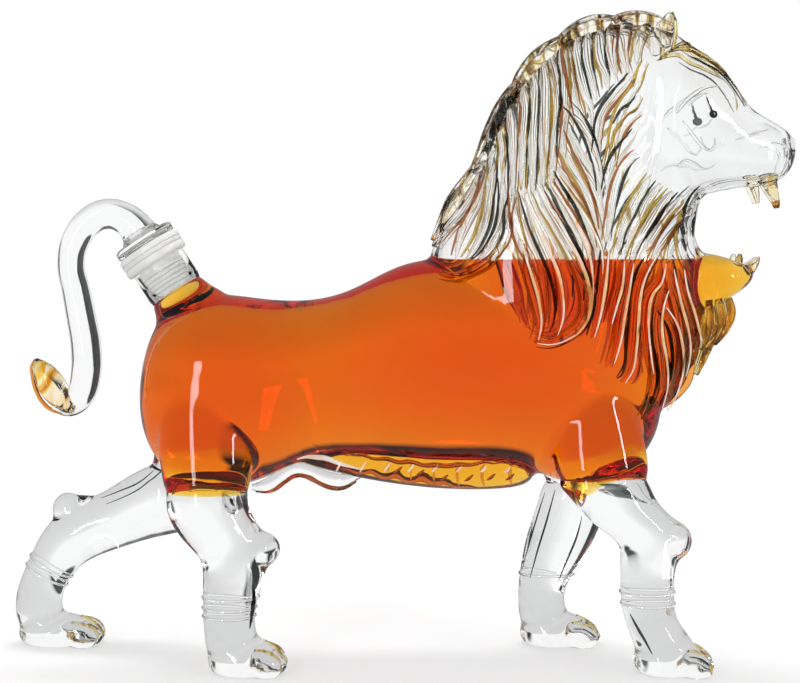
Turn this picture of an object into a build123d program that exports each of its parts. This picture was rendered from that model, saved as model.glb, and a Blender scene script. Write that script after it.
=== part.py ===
from build123d import *
import math
import os

os.makedirs("parts", exist_ok=True)

# Overall sizes of the lion, in mm
figure_length = 336.0
figure_height = 275.0
figure_width = 86.0

# Blown shell and what it holds
glass_wall = 3.0
film_gap = 0.3
fill_height = 166.7

# Pouring neck on the rump, which leans back from upright by this many degrees
neck_lean = 32.75
neck_diameter = 23.6
neck_wall = 2.3
neck_depth = 21.0

# Plastic seal and the glass stopper that carries the tail
collar_diameter = 27.8
collar_height = 8.4
plug_depth = 13.0
plug_clearance = 0.25
rib_height = 0.5
rib_thickness = 1.4
rib_pitch = 3.6
rib_count = 3
stem_diameter = 13.0
stem_clearance = 0.2
flange_diameter = 26.4
flange_height = 3.8
running_gap = 0.3

# Solid glass rods
tail_radius = 5.9
tuft_radius = 5.6
lock_radius = 3.4
crest_radius = 4.8
forelock_radius = 4.0
beard_radius = 3.6
fang_radius = 2.4
ear_radius = 6.0
lid_radius = 2.2
pupil_radius = 2.3
nose_radius = 4.0
fringe_radius = 2.4
toe_radius = 5.2
ring_radius = 1.5

# The side view is drawn on a grid of squares: along from the tail end, up from the foot
# of the grid, and aside from the middle plane, where minus is the lion's right-hand side.
# The lion stands on the grid's line at ground_share.
squares_long = 800
squares_tall = 655
squares_wide = 205
ground_share = 7
square_long = figure_length / squares_long
square_tall = figure_height / squares_tall
square_wide = figure_width / squares_wide

near = -1
far = 1

# Torso ovals from rump to breast: along, top, bottom, half width
torso_shares = [
    (143, 292, 243, 20),
    (150, 322, 219, 46),
    (166, 352, 196, 66),
    (200, 369, 181, 80),
    (240, 368, 178, 82),
    (285, 364, 200, 76),
    (330, 364, 213, 72),
    (380, 379, 205, 76),
    (440, 400, 199, 82),
    (500, 405, 201, 84),
    (560, 400, 182, 80),
    (610, 372, 184, 70),
    (645, 330, 212, 52),
    (656, 298, 240, 28),
]

# Narrow keel under the belly: along, top, bottom, half width
keel_shares = [
    (298, 230, 206, 11),
    (318, 232, 197, 14),
    (350, 230, 189, 15),
    (383, 228, 183, 15),
    (411, 226, 179, 15),
    (444, 224, 176, 15),
    (481, 224, 175, 15),
    (512, 224, 177, 14),
    (532, 220, 184, 11),
]

# Neck ovals from breast to throat: up, along, half length, half width
throat_up_share = 459
throat_shares = [
    (225, 556, 84, 52),
    (264, 562, 116, 72),
    (304, 564, 130, 80),
    (344, 566, 138, 82),
    (384, 567, 141, 82),
    (424, 567, 136, 79),
    (throat_up_share, 579, 125, 74),
]

# Skull ovals from throat to crown: up, along, half length, half width
skull_shares = [
    (throat_up_share, 579, 125, 74),
    (494, 592, 112, 71),
    (534, 604, 106, 68),
    (574, 612, 98, 62),
    (604, 620, 84, 53),
    (628, 626, 62, 40),
    (642, 634, 34, 22),
]

# Muzzle ovals from skull to nose: along, top, bottom, half width
muzzle_shares = [
    (650, 604, 464, 54),
    (690, 606, 464, 53),
    (716, 592, 467, 46),
    (742, 561, 472, 37),
    (764, 547, 474, 31),
    (780, 536, 477, 26),
    (790, 528, 484, 19),
    (796, 521, 494, 10),
]

# Lower jaw ovals from throat to chin: along, top, bottom, half width
jaw_shares = [
    (684, 414, 340, 40),
    (706, 413, 352, 38),
    (724, 407, 363, 33),
    (740, 401, 374, 25),
    (750, 396, 384, 14),
]

# Swellings where the limbs leave the torso: up, along, aside, half length, half width
haunch_near_shares = [
    (316, 206, -40, 30, 28),
    (280, 208, -50, 43, 33),
    (245, 211, -56, 47, 34),
    (212, 213, -61, 46, 33),
    (177, 213, -65, 41, 31),
]
haunch_far_shares = [
    (316, 200, 40, 30, 28),
    (280, 200, 50, 43, 33),
    (245, 198, 56, 47, 34),
    (208, 193, 61, 46, 33),
    (165, 186, 65, 40, 31),
]
shoulder_near_shares = [
    (300, 586, -40, 30, 28),
    (264, 589, -50, 42, 32),
    (232, 592, -57, 46, 33),
    (208, 594, -61, 47, 32),
    (187, 596, -65, 45, 30),
]
shoulder_far_shares = [
    (300, 584, 40, 30, 28),
    (264, 585, 50, 40, 31),
    (232, 584, 57, 42, 32),
    (200, 583, 62, 40, 31),
    (168, 582, 65, 36, 29),
]

# Upright legs, thigh then shank: up, along, aside, half length, half width
hind_near_thigh_shares = [
    (177, 213, -65, 41, 31),
    (147, 220, -66, 42, 31),
    (128, 235, -66, 40, 29),
    (113, 242, -66, 31, 28),
]
hind_near_shank_shares = [
    (113, 242, -66, 31, 28),
    (92, 239, -66, 29, 27),
    (64, 236, -66, 26, 26),
    (35, 237, -66, 26, 26),
    (16, 238, -66, 24, 24),
]
fore_near_thigh_shares = [
    (187, 596, -65, 45, 30),
    (172, 606, -66, 42, 30),
    (150, 628, -66, 44, 30),
    (131, 645, -66, 35, 29),
    (112, 639, -66, 28, 28),
]
fore_near_shank_shares = [
    (112, 639, -66, 28, 28),
    (86, 638, -66, 26, 26),
    (56, 643, -66, 26, 26),
    (34, 648, -66, 27, 26),
    (16, 650, -66, 25, 24),
]
fore_far_thigh_shares = [
    (168, 582, 65, 36, 29),
    (146, 575, 66, 37, 29),
    (123, 568, 66, 36, 29),
    (100, 560, 66, 32, 28),
]
fore_far_shank_shares = [
    (100, 560, 66, 32, 28),
    (82, 553, 66, 28, 27),
    (55, 547, 66, 25, 25),
    (34, 548, 66, 25, 25),
    (17, 550, 66, 23, 23),
]

# The far hind leg reaches back: along, up, aside, radius, in squares
hind_far_thigh_shares = [
    (186, 165, 64, 36),
    (142, 150, 66, 33),
    (102, 134, 66, 28),
    (72, 122, 66, 29),
    (50, 102, 66, 26),
]
hind_far_shank_shares = [
    (50, 102, 66, 26),
    (35, 80, 66, 24),
    (27, 56, 66, 25),
    (26, 36, 66, 25),
    (28, 17, 66, 23),
]

# Paws: where the heel is, how long, how tall, how wide on each side of the leg's middle
paw_places_shares = {
    "hind_near": (208, -66),
    "hind_far": (-2, 66),
    "fore_near": (616, -66),
    "fore_far": (520, 66),
}
paw_reach_shares = [
    (2, 24, 4, 12),
    (14, 38, -8, 27),
    (34, 42, -10, 32),
    (56, 32, -10, 35),
    (74, 22, -8, 31),
    (84, 12, 0, 14),
]
toe_along_share = 76
toe_up_share = 11
toe_aside_shares = (-26, -9, 9, 26)
toe_back_shares = (6, 0, 0, 6)
ring_up_shares = (80, 68)
ring_girth_share = 0.99

# Tail, from the stopper over and down to the tuft: along, up
tail_shares = [
    (138, 435),
    (127, 446),
    (107, 450),
    (85, 437),
    (72, 411),
    (76, 374),
    (83, 348),
    (87, 318),
    (86, 290),
    (80, 267),
    (68, 256),
]
tail_girth_shares = (1.25, 1.1, 1.05, 1.0, 0.95, 1.05, 1.08, 1.1, 1.08, 1.0, 0.85)
tuft_shares = [
    (68, 256),
    (57, 264),
    (47, 280),
    (40, 296),
    (36, 305),
]
tuft_girth_shares = (0.85, 1.0, 1.0, 0.55, 0.12)

# Mane locks seen from the side: along, up.  Each lies on the skin of the lion.
crest_shares = [
    [(672, 640), (646, 654), (618, 644), (598, 628)],
    [(608, 638), (582, 642), (556, 622), (544, 600)],
    [(554, 616), (530, 608), (513, 586), (506, 562)],
    [(516, 584), (498, 568), (491, 540), (487, 512)],
    [(490, 524), (478, 492), (462, 466), (446, 446)],
    [(462, 470), (442, 444), (428, 424), (424, 408)],
]
sweep_shares = [
    [(650, 630), (626, 632), (598, 616), (572, 588), (554, 560)],
    [(654, 606), (634, 606), (608, 590), (588, 560), (574, 530)],
    [(652, 582), (634, 577), (619, 567), (608, 554)],
    [(538, 588), (523, 566), (511, 534), (505, 500), (505, 468)],
    [(540, 541), (530, 512), (526, 490), (529, 466)],
    [(556, 514), (551, 495), (550, 480), (553, 464)],
    [(583, 536), (577, 510), (575, 486), (577, 464)],
]
fall_shares = [
    [(482, 446), (468, 428), (452, 408), (439, 392)],
    [(502, 444), (490, 428), (475, 406), (462, 386)],
    [(521, 443), (514, 420), (505, 400), (496, 380)],
    [(540, 444), (537, 412), (535, 372), (530, 340), (524, 318)],
    [(560, 442), (558, 404), (557, 368), (554, 332)],
    [(580, 442), (580, 408), (579, 364), (575, 332), (560, 312)],
]
cheek_shares = [
    [(606, 530), (602, 486), (603, 446), (605, 412)],
    [(626, 532), (622, 490), (622, 450), (624, 412)],
    [(646, 520), (642, 482), (642, 446), (643, 410)],
    [(666, 500), (663, 468), (662, 438), (662, 408)],
    [(686, 480), (684, 452), (682, 428), (681, 404)],
]
chest_shares = [
    [(605, 388), (606, 360), (605, 334), (603, 308)],
    [(625, 390), (627, 352), (626, 308), (622, 276)],
    [(645, 390), (649, 350), (649, 308), (644, 274)],
    [(665, 388), (671, 352), (671, 312), (665, 280)],
]
beard_shares = [
    [(716, 366), (722, 350), (718, 334), (710, 318)],
    [(706, 352), (712, 332), (708, 312), (700, 298)],
    [(702, 330), (706, 312), (702, 292), (696, 278)],
]
# Borders between groups of locks, where their glass meets: along or up
crest_half_share = 13
sweep_floor_share = 455
sweep_front_share = 648
fall_front_share = 594
cheek_top_share = 545
chest_top_share = 398
beard_back_share = 692
forelock_back_share = 684

beard_aside_shares = (-24, 0, 24)
forelock_shares = [(686, 618), (704, 608), (722, 594), (737, 577), (746, 560)]
forelock_aside_shares = (-14, 14)
lid_shares = [(690, 560, 52), (706, 568, 48), (722, 565, 44), (736, 552, 40)]
lid_girth_shares = (0.4, 1.0, 1.0, 0.4)
pupil_share = (712, 550, 46)
ear_shares = [(664, 622), (663, 638), (667, 650), (672, 657)]
ear_girth_shares = (0.8, 1.0, 0.7, 0.15)
ear_aside_share = 32
nose_share = (790, 517)
nose_aside_shares = (-8, 0, 8)

# Fangs: root, middle and tip, along and up
upper_front_fang_shares = [(771, 490), (776, 470), (778, 455)]
upper_rear_fang_shares = [(751, 490), (755, 470), (756, 458)]
lower_fang_shares = [(744, 394), (752, 400), (757, 407)]
lower_knob_shares = [(735, 400), (736, 406), (737, 410)]
fang_taper_shares = (1.0, 0.85, 0.2)
upper_front_aside_share = 15
upper_rear_aside_share = 22
lower_fang_aside_share = 10
lower_knob_aside_share = 19

# Fringe of lobes along the keel, the fold of glass in front of the hind legs, and the rim
# of the pouring neck: along, up
fringe_start_shares = (312, 213)
fringe_end_shares = (522, 196)
fringe_sag_share = 9
fringe_aside_share = 15
fringe_count = 9
fringe_valley_share = 0.6
fold_shares = [
    (256, 178), (272, 177), (286, 188), (300, 192), (314, 188), (328, 182), (342, 180), (353, 184)
]
fold_aside_share = 0
neck_place_shares = (158.5, 401)

lap = 40.0


def spot(along, up, aside=0.0):
    """A point of the drawing grid as a place in mm."""
    return Vector(
        square_long * along - figure_length / 2,
        square_wide * aside,
        square_tall * (up - ground_share),
    )


def oval(plane, half_one, half_two):
    """A closed oval face through eight points."""
    turns = [math.tau * step / 8 for step in range(8)]
    points = [
        plane.from_local_coords((half_one * math.cos(turn), half_two * math.sin(turn), 0))
        for turn in turns
    ]
    return make_face(Spline(*points, periodic=True))


def barrel(shares, inset=0.0):
    """A lying form through upright ovals; inset gives the hollow inside its wall."""
    faces = []
    for number, (along, top, bottom, half_width) in enumerate(shares):
        centre = spot(along, (top + bottom) / 2)
        if number == 0:
            centre += Vector(inset, 0, 0)
        if number == len(shares) - 1:
            centre -= Vector(inset, 0, 0)
        plane = Plane(origin=centre, x_dir=(0, 1, 0), z_dir=(1, 0, 0))
        half_tall = square_tall * (top - bottom) / 2 - inset
        faces.append(oval(plane, square_wide * half_width - inset, half_tall))
    return loft(faces)


def column(shares, inset=0.0, first_end=0.0, last_end=0.0):
    """An upright form through level ovals, with each end moved up by its own amount."""
    faces = []
    for number, (up, along, aside, half_length, half_width) in enumerate(shares):
        centre = spot(along, up, aside)
        if number == 0:
            centre += Vector(0, 0, first_end)
        if number == len(shares) - 1:
            centre += Vector(0, 0, last_end)
        plane = Plane(origin=centre, x_dir=(1, 0, 0), z_dir=(0, 0, 1))
        faces.append(
            oval(plane, square_long * half_length - inset, square_wide * half_width - inset)
        )
    return loft(faces)


def rod(points, radii):
    """A round rod through points, with a radius at each."""
    faces = []
    last = len(points) - 1
    for number, (point, radius) in enumerate(zip(points, radii)):
        heading = (points[min(number + 1, last)] - points[max(number - 1, 0)]).normalized()
        across = Vector(0, 1, 0) - heading * heading.Y
        faces.append(Plane(origin=point, x_dir=across, z_dir=heading) * Circle(radius))
    return loft(faces)


def joined(pieces):
    """One shape from several that touch or overlap."""
    return pieces[0] if len(pieces) == 1 else pieces[0].fuse(*pieces[1:])


def less(shape, *cutters):
    """A shape with others taken out of it."""
    return shape.cut(*cutters)


def middle(shares):
    """Level ovals on the middle plane, from (up, along, half length, half width)."""
    return [(up, along, 0, long, wide) for up, along, long, wide in shares]


# Level ovals of neck and skull together, which carry the mane
carrier_shares = throat_shares + skull_shares[1:]


def skin(along, up):
    """How far aside the skin of neck or skull lies at a place of the side view."""
    low, high = carrier_shares[0], carrier_shares[-1]
    for below, above in zip(carrier_shares, carrier_shares[1:]):
        if below[0] <= up <= above[0]:
            low, high = below, above
    share = min(max((up - low[0]) / (high[0] - low[0]), 0), 1)
    centre, half_length, half_width = [
        low[item] + share * (high[item] - low[item]) for item in (1, 2, 3)
    ]
    reach = min(abs(along - centre) / half_length, 1)
    return half_width * math.sqrt(1 - reach * reach)


def lock(places, side, radius):
    """A lock of glass that lies on the skin and thins out to its tip."""
    points = [spot(along, up, side * skin(along, up)) for along, up in places]
    steps = [number / (len(points) - 1) for number in range(len(points))]
    radii = [radius * math.sin(math.pi * (0.2 + 0.7 * step)) for step in steps]
    return rod(points, radii)


def straight_lock(places, aside, radius):
    """A lock that keeps one distance from the middle plane."""
    points = [spot(along, up, aside) for along, up in places]
    steps = [number / (len(points) - 1) for number in range(len(points))]
    radii = [radius * math.sin(math.pi * (0.25 + 0.62 * step)) for step in steps]
    return rod(points, radii)


# Blown shell of torso, neck and limb roots
limb_roots = [haunch_near_shares, haunch_far_shares, shoulder_near_shares, shoulder_far_shares]


def trunk(inset, open_end):
    """Torso, neck and limb roots as one form, drawn in by a wall."""
    forms = [
        barrel(torso_shares, inset),
        barrel(keel_shares, inset),
        column(middle(throat_shares), inset, first_end=inset, last_end=open_end),
    ]
    for root in limb_roots:
        forms.append(column(root, inset, first_end=-inset, last_end=inset))
    return joined(forms)


trunk_outer = trunk(0.0, 0.0)
trunk_inner = trunk(glass_wall, glass_wall)
trunk_fill = trunk(glass_wall + film_gap, glass_wall)

skull_outer = joined([column(middle(skull_shares)), barrel(muzzle_shares)])
skull_inner = joined(
    [
        column(middle(skull_shares[:-1]), glass_wall, first_end=-glass_wall),
        barrel(muzzle_shares[:-2], glass_wall),
    ]
)
head_shell = less(less(skull_outer, skull_inner), trunk_outer)

# Axis of the pouring neck, from its rim
lean = math.radians(neck_lean)
axis = Vector(-math.sin(lean), 0, math.cos(lean))
neck_rim = spot(*neck_place_shares)
neck_plane = Plane(origin=neck_rim, x_dir=(0, 1, 0), z_dir=axis)


def disc(start, height, radius):
    """A round piece on the neck's axis, from start along it."""
    base = neck_plane.offset(start)
    return extrude(base * Circle(radius), amount=height)


neck_radius = neck_diameter / 2
bore_radius = neck_radius - neck_wall
pour_neck = less(
    disc(-neck_depth, neck_depth, neck_radius), disc(-neck_depth - lap, 2 * lap, bore_radius)
)
pour_neck = less(pour_neck, trunk_inner)
body_shell = less(trunk_outer, trunk_inner, disc(-neck_depth, neck_depth, neck_radius))
body_shell = less(body_shell, disc(-neck_depth - glass_wall, glass_wall, bore_radius))

# Liquor, level at the fill height
surface = Plane(origin=(0, 0, fill_height), z_dir=(0, 0, 1))
above_fill = extrude(surface * Rectangle(2 * figure_length, 2 * figure_width), amount=figure_height)
liquor = less(trunk_fill, above_fill)

# Lower jaw, a hollow with its own liquor
jaw_outer = less(barrel(jaw_shares), trunk_outer)
lower_jaw = less(jaw_outer, barrel(jaw_shares[:-1], glass_wall))
jaw_fill = less(barrel(jaw_shares[:-1], glass_wall + film_gap), trunk_outer)
jaw_liquor = less(jaw_fill, above_fill)

nodes = {
    "body_shell": body_shell,
    "liquor": liquor,
    "pour_neck": pour_neck,
    "head_shell": head_shell,
    "lower_jaw": lower_jaw,
    "jaw_liquor": jaw_liquor,
}

# Legs and paws
leg_columns = {
    "hind_near": (hind_near_thigh_shares, hind_near_shank_shares),
    "fore_near": (fore_near_thigh_shares, fore_near_shank_shares),
    "fore_far": (fore_far_thigh_shares, fore_far_shank_shares),
}
below_ground = Pos(0, 0, -lap) * extrude(Rectangle(2 * figure_length, 2 * figure_width), amount=lap)


def leaning(shares):
    """A rod from (along, up, aside, radius in squares)."""
    points = [spot(along, up, aside) for along, up, aside, girth in shares]
    return rod(points, [square_wide * girth for along, up, aside, girth in shares])


def ring(shares, up):
    """A thin ring of glass round a shank, level with the ground."""
    low = [row for row in shares if row[0] <= up][0]
    high = [row for row in shares if row[0] >= up][-1]
    share = (up - low[0]) / (high[0] - low[0])
    along, aside, half_length = [low[item] + share * (high[item] - low[item]) for item in (1, 2, 3)]
    girth = square_wide * half_length * ring_girth_share
    return Plane(origin=spot(along, up, aside)) * Torus(girth, ring_radius)


def paw(heel, aside):
    """A paw with four toes, flat underneath."""
    shares = [
        (heel + along, ground_share + top, ground_share + bottom, wide)
        for along, top, bottom, wide in paw_reach_shares
    ]
    pieces = [Pos(0, square_wide * aside, 0) * barrel(shares)]
    for toe_aside, toe_back in zip(toe_aside_shares, toe_back_shares):
        tip_up = ground_share + toe_up_share
        tip = spot(heel + toe_along_share - toe_back, tip_up, aside + toe_aside)
        pieces.append(Pos(tip) * Sphere(toe_radius))
    return less(joined(pieces), below_ground)


for name, (thigh_shares, shank_shares) in leg_columns.items():
    thigh = less(column(thigh_shares), trunk_outer)
    shank = column(shank_shares)
    foot = less(paw(*paw_places_shares[name]), shank)
    nodes[name + "_thigh"] = thigh
    rings = [ring(shank_shares, up) for up in ring_up_shares]
    nodes[name + "_shank"] = joined([shank] + rings)
    nodes[name + "_paw"] = foot

far_thigh = less(leaning(hind_far_thigh_shares), trunk_outer)
far_shank = leaning(hind_far_shank_shares)
nodes["hind_far_thigh"] = less(far_thigh, far_shank)
nodes["hind_far_shank"] = far_shank
nodes["hind_far_paw"] = less(paw(*paw_places_shares["hind_far"]), far_shank)

# Locks of the mane, cut back by the shell they lie on and by the borders between groups
carriers = [trunk_outer, skull_outer]
far_off = 2 * squares_long


def block(along=(-far_off, far_off), up=(-far_off, far_off), aside=(-far_off, far_off)):
    """A box of the drawing grid, from one square to another each way."""
    low, high = spot(along[0], up[0], aside[0]), spot(along[1], up[1], aside[1])
    size = high - low
    return Pos((low + high) * 0.5) * Box(size.X, size.Y, size.Z)


middle_strips = {
    near: block(aside=(-crest_half_share, far_off)),
    far: block(aside=(-far_off, crest_half_share)),
}
below_throat = block(up=(-far_off, sweep_floor_share))
above_throat = block(up=(sweep_floor_share, far_off))
mane_groups = {
    "mane_sweep": (
        sweep_shares,
        [
            below_throat,
            block(along=(sweep_front_share, far_off)),
            block(along=(fall_front_share, far_off), up=(-far_off, cheek_top_share)),
        ],
    ),
    "mane_fall": (
        fall_shares,
        [above_throat, block(along=(fall_front_share, far_off))],
    ),
    "mane_cheek": (
        cheek_shares,
        [
            block(along=(-far_off, fall_front_share)),
            block(up=(cheek_top_share, far_off)),
            block(up=(-far_off, chest_top_share)),
        ],
    ),
    "mane_chest": (
        chest_shares,
        [
            block(along=(-far_off, fall_front_share)),
            block(up=(chest_top_share, far_off)),
            block(along=(beard_back_share, far_off)),
        ],
    ),
}
crest = joined([straight_lock(p, 0, crest_radius) for p in crest_shares])
nodes["mane_crest"] = less(crest, *carriers, block(along=(forelock_back_share, far_off)))
for name, (places, borders) in mane_groups.items():
    for word, side in (("_near", near), ("_far", far)):
        strands = joined([lock(p, side, lock_radius) for p in places])
        nodes[name + word] = less(strands, *carriers, middle_strips[side], *borders)
beard_strands = [straight_lock(p, a, beard_radius) for p in beard_shares for a in beard_aside_shares]
behind_beard = block(along=(-far_off, beard_back_share))
nodes["beard"] = less(joined(beard_strands), trunk_outer, jaw_outer, behind_beard)
forelocks = joined([straight_lock(forelock_shares, a, forelock_radius) for a in forelock_aside_shares])
nodes["forelock"] = less(forelocks, skull_outer, block(along=(-far_off, forelock_back_share)))

# Small pieces of the face
for word, side in (("_near", near), ("_far", far)):
    lid_points = [spot(along, up, side * aside) for along, up, aside in lid_shares]
    lid = rod(lid_points, [lid_radius * share for share in lid_girth_shares])
    nodes["eyelid" + word] = less(lid, skull_outer)
    along, up, aside = pupil_share
    nodes["pupil" + word] = less(Pos(spot(along, up, side * aside)) * Sphere(pupil_radius), skull_outer)
    ear_points = [spot(along, up, side * ear_aside_share) for along, up in ear_shares]
    ear = rod(ear_points, [ear_radius * share for share in ear_girth_shares])
    nodes["ear" + word] = less(ear, skull_outer, block(along=(-far_off, sweep_front_share)))
nose = joined([Pos(spot(*nose_share, aside)) * Sphere(nose_radius) for aside in nose_aside_shares])
nodes["nose_pad"] = less(nose, skull_outer)


def fangs(shares, aside_share, socket):
    """A pair of fangs, one on each side, grown from the jaw that carries them."""
    pair = []
    for side in (near, far):
        points = [spot(along, up, side * aside_share) for along, up in shares]
        fang = rod(points, [fang_radius * share for share in fang_taper_shares])
        pair.append(less(fang, socket))
    return pair


upper = fangs(upper_front_fang_shares, upper_front_aside_share, skull_outer)
upper += fangs(upper_rear_fang_shares, upper_rear_aside_share, skull_outer)
nodes["upper_fangs"] = joined(upper)
lower = fangs(lower_fang_shares, lower_fang_aside_share, jaw_outer)
lower += fangs(lower_knob_shares, lower_knob_aside_share, jaw_outer)
nodes["lower_fangs"] = joined(lower)

# Fringe of lobes along both sides of the keel, and the fold of glass behind it
fringes = []
for side in (near, far):
    places = []
    girths = []
    steps = 2 * fringe_count
    for number in range(steps + 1):
        share = number / steps
        along = fringe_start_shares[0] + share * (fringe_end_shares[0] - fringe_start_shares[0])
        up = fringe_start_shares[1] + share * (fringe_end_shares[1] - fringe_start_shares[1])
        up -= fringe_sag_share * math.sin(math.pi * share)
        places.append(spot(along, up, side * fringe_aside_share))
        girths.append(fringe_radius * (1 if number % 2 else fringe_valley_share))
    fringes.append(less(rod(places, girths), trunk_outer))
nodes["belly_fringe"] = joined(fringes)
fold = straight_lock(fold_shares, fold_aside_share, lock_radius)
nodes["belly_fold"] = less(fold, trunk_outer, nodes["belly_fringe"])

# Stopper: plastic seal, then the glass stem, flange and tail
plug_radius = bore_radius - plug_clearance
seal = disc(running_gap, collar_height - running_gap, collar_diameter / 2)
seal = joined([seal, disc(-plug_depth, plug_depth + running_gap, plug_radius - rib_height)])
for number in range(rib_count):
    start = -plug_depth + number * rib_pitch
    seal = joined([seal, disc(start, rib_thickness, plug_radius)])
stem_radius = stem_diameter / 2
seal = less(seal, disc(-plug_depth, plug_depth + collar_height, stem_radius + stem_clearance))
nodes["seal_sleeve"] = seal
nodes["stopper_stem"] = disc(-plug_depth, plug_depth + collar_height + running_gap, stem_radius)
flange_start = collar_height + running_gap
nodes["stopper_flange"] = disc(flange_start, flange_height, flange_diameter / 2)
flange_top = flange_start + flange_height
tail_points = [neck_rim + axis * (flange_top)] + [spot(along, up) for along, up in tail_shares[1:]]
tail = rod(tail_points, [tail_radius * s for s in tail_girth_shares])
tail = less(tail, nodes["stopper_flange"])
tuft = rod([spot(along, up) for along, up in tuft_shares], [tuft_radius * s for s in tuft_girth_shares])
nodes["tail_rod"] = tail
nodes["tail_tuft"] = less(tuft, tail)

# Put the middle of the footprint at the origin and write every piece
corners = [shape.bounding_box() for shape in nodes.values()]
low_x = min(box.min.X for box in corners)
high_x = max(box.max.X for box in corners)
low_y = min(box.min.Y for box in corners)
high_y = max(box.max.Y for box in corners)
shift = Vector(-(low_x + high_x) / 2, -(low_y + high_y) / 2, 0)
for name, shape in nodes.items():
    export_step(Pos(shift) * shape, "parts/" + name + ".step")

rim = neck_rim + shift
print("size", high_x - low_x, high_y - low_y, max(box.max.Z for box in corners))
print("lowest", min(box.min.Z for box in corners))
print("neck rim", rim, "axis", axis)
print("liquor ml", (liquor.volume + jaw_liquor.volume) / 1000)
for name, (heel, aside) in paw_places_shares.items():
    print("sole", name, spot(heel + 40, ground_share, aside) + shift)
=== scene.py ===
import bpy
import bmesh
import math
from mathutils import Matrix, Vector
from mathutils.bvhtree import BVHTree


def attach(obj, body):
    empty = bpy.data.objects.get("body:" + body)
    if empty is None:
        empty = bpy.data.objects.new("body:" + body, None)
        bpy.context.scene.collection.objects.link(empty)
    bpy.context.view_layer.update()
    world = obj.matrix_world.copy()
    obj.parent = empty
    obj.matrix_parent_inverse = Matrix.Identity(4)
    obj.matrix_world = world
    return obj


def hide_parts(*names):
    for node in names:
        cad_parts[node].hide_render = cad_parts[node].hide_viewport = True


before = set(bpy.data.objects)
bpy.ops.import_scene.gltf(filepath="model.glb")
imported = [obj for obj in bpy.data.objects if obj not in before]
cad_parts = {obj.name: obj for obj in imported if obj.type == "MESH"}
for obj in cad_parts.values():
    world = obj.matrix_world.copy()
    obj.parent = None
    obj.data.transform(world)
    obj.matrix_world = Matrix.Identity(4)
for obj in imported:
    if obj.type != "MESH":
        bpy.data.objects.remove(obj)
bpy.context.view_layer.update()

# The studio: a white floor that keeps a faint shadow, a bright surround with darker
# corners that draw the edges of the glass, and three soft lamps for its highlights.
# The camera looks level along the top of the liquor.
square = 0.00042
frame_squares = 800
middle_along = 400
middle_x = 0.0001
middle_y = 0.0
ground_line = 7
# Lines of the side view, counted down: the one at the camera's height, where the liquor ends,
# and the one where the grid's own height is nought
level_line = 260
foot_line = 664
fill_height = (foot_line - level_line - ground_line) * square
camera_reach = 0.75
horizon_drop_share = 81.5 / frame_squares

scene = bpy.context.scene
scene.view_settings.view_transform = "Standard"
scene.cycles.max_bounces = 28
scene.cycles.transmission_bounces = 28
scene.cycles.transparent_max_bounces = 16


def object_of(name, data):
    """A new object in the scene."""
    item = bpy.data.objects.new(name, data)
    scene.collection.objects.link(item)
    return item


camera_data = bpy.data.cameras.new("camera")
camera_data.sensor_width = 36.0
camera_data.lens = camera_data.sensor_width * camera_reach / (frame_squares * square)
camera_data.shift_y = -horizon_drop_share
camera = object_of("camera", camera_data)
camera.location = (middle_x, middle_y - camera_reach, fill_height)
camera.rotation_euler = (math.pi / 2, 0, 0)
scene.camera = camera


def feed(tree, node, feeds):
    """Give each input of a node its fixed value, or link it to a socket or to a node."""
    for name, source in feeds.items():
        if isinstance(source, bpy.types.Node):
            source = source.outputs[0]
        if isinstance(source, bpy.types.NodeSocket):
            tree.links.new(source, node.inputs[name])
        else:
            node.inputs[name].default_value = source
    return node


def node_in(tree, kind, feeds=None, **settings):
    """A new shader node with its own settings and inputs."""
    node = tree.nodes.new(kind)
    for name, value in settings.items():
        setattr(node, name, value)
    return feed(tree, node, feeds or {})


def math_in(tree, operation, *terms):
    """One step of arithmetic."""
    return node_in(tree, "ShaderNodeMath", dict(enumerate(terms)), operation=operation)


def spread(tree, value, low, high, bottom=0.0, top=1.0, curve="LINEAR"):
    """A value carried over from one range to another."""
    limits = {"From Min": low, "From Max": high, "To Min": bottom, "To Max": top}
    feeds = {**limits, "Value": value}
    return node_in(tree, "ShaderNodeMapRange", feeds, interpolation_type=curve)


def ramp(tree, value, shades, shares=(0.0, 1.0)):
    """Shades that run into each other along a value."""
    node = node_in(tree, "ShaderNodeValToRGB", {0: value})
    stops = node.color_ramp.elements
    for number in (0, -1):
        stops[number].position = shares[number]
        stops[number].color = (*shades[number], 1.0)
    for shade, share in zip(shades[1:-1], shares[1:-1]):
        stops.new(share).color = (*shade, 1.0)
    return node


def mixed(tree, share, one, other, way="MIX"):
    """Two colours, blended or multiplied."""
    feeds = {"Factor": share, 6: one, 7: other}
    return node_in(tree, "ShaderNodeMix", feeds, data_type="RGBA", blend_type=way).outputs[2]


def grey(level):
    return (level, level, level, 1.0)


def by_ray(tree, seen_as, looks):
    """A look of its own for some kinds of ray, over the look that the others get."""
    path = node_in(tree, "ShaderNodeLightPath")
    for ray, look in looks.items():
        feeds = {0: path.outputs[ray], 1: seen_as, 2: look}
        seen_as = node_in(tree, "ShaderNodeMixShader", feeds)
    return seen_as


def dark_corners(tree, heading):
    """Near white all round, with dark bands at the four diagonals, away from the main views."""
    parts = node_in(tree, "ShaderNodeSeparateXYZ", {0: heading}).outputs
    product = math_in(tree, "MULTIPLY", parts["X"], parts["Y"])
    size = math_in(tree, "ABSOLUTE", product)
    lean = math_in(tree, "MULTIPLY_ADD", parts["X"], -0.05, size)
    corner = spread(tree, lean, 0.425, 0.455)
    height = spread(tree, parts["Z"], 0.6, 0.7)
    dark = math_in(tree, "MAXIMUM", corner, height)
    return ramp(tree, dark, [(1.0, 1.0, 1.0), (0.03, 0.033, 0.036)])


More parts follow.
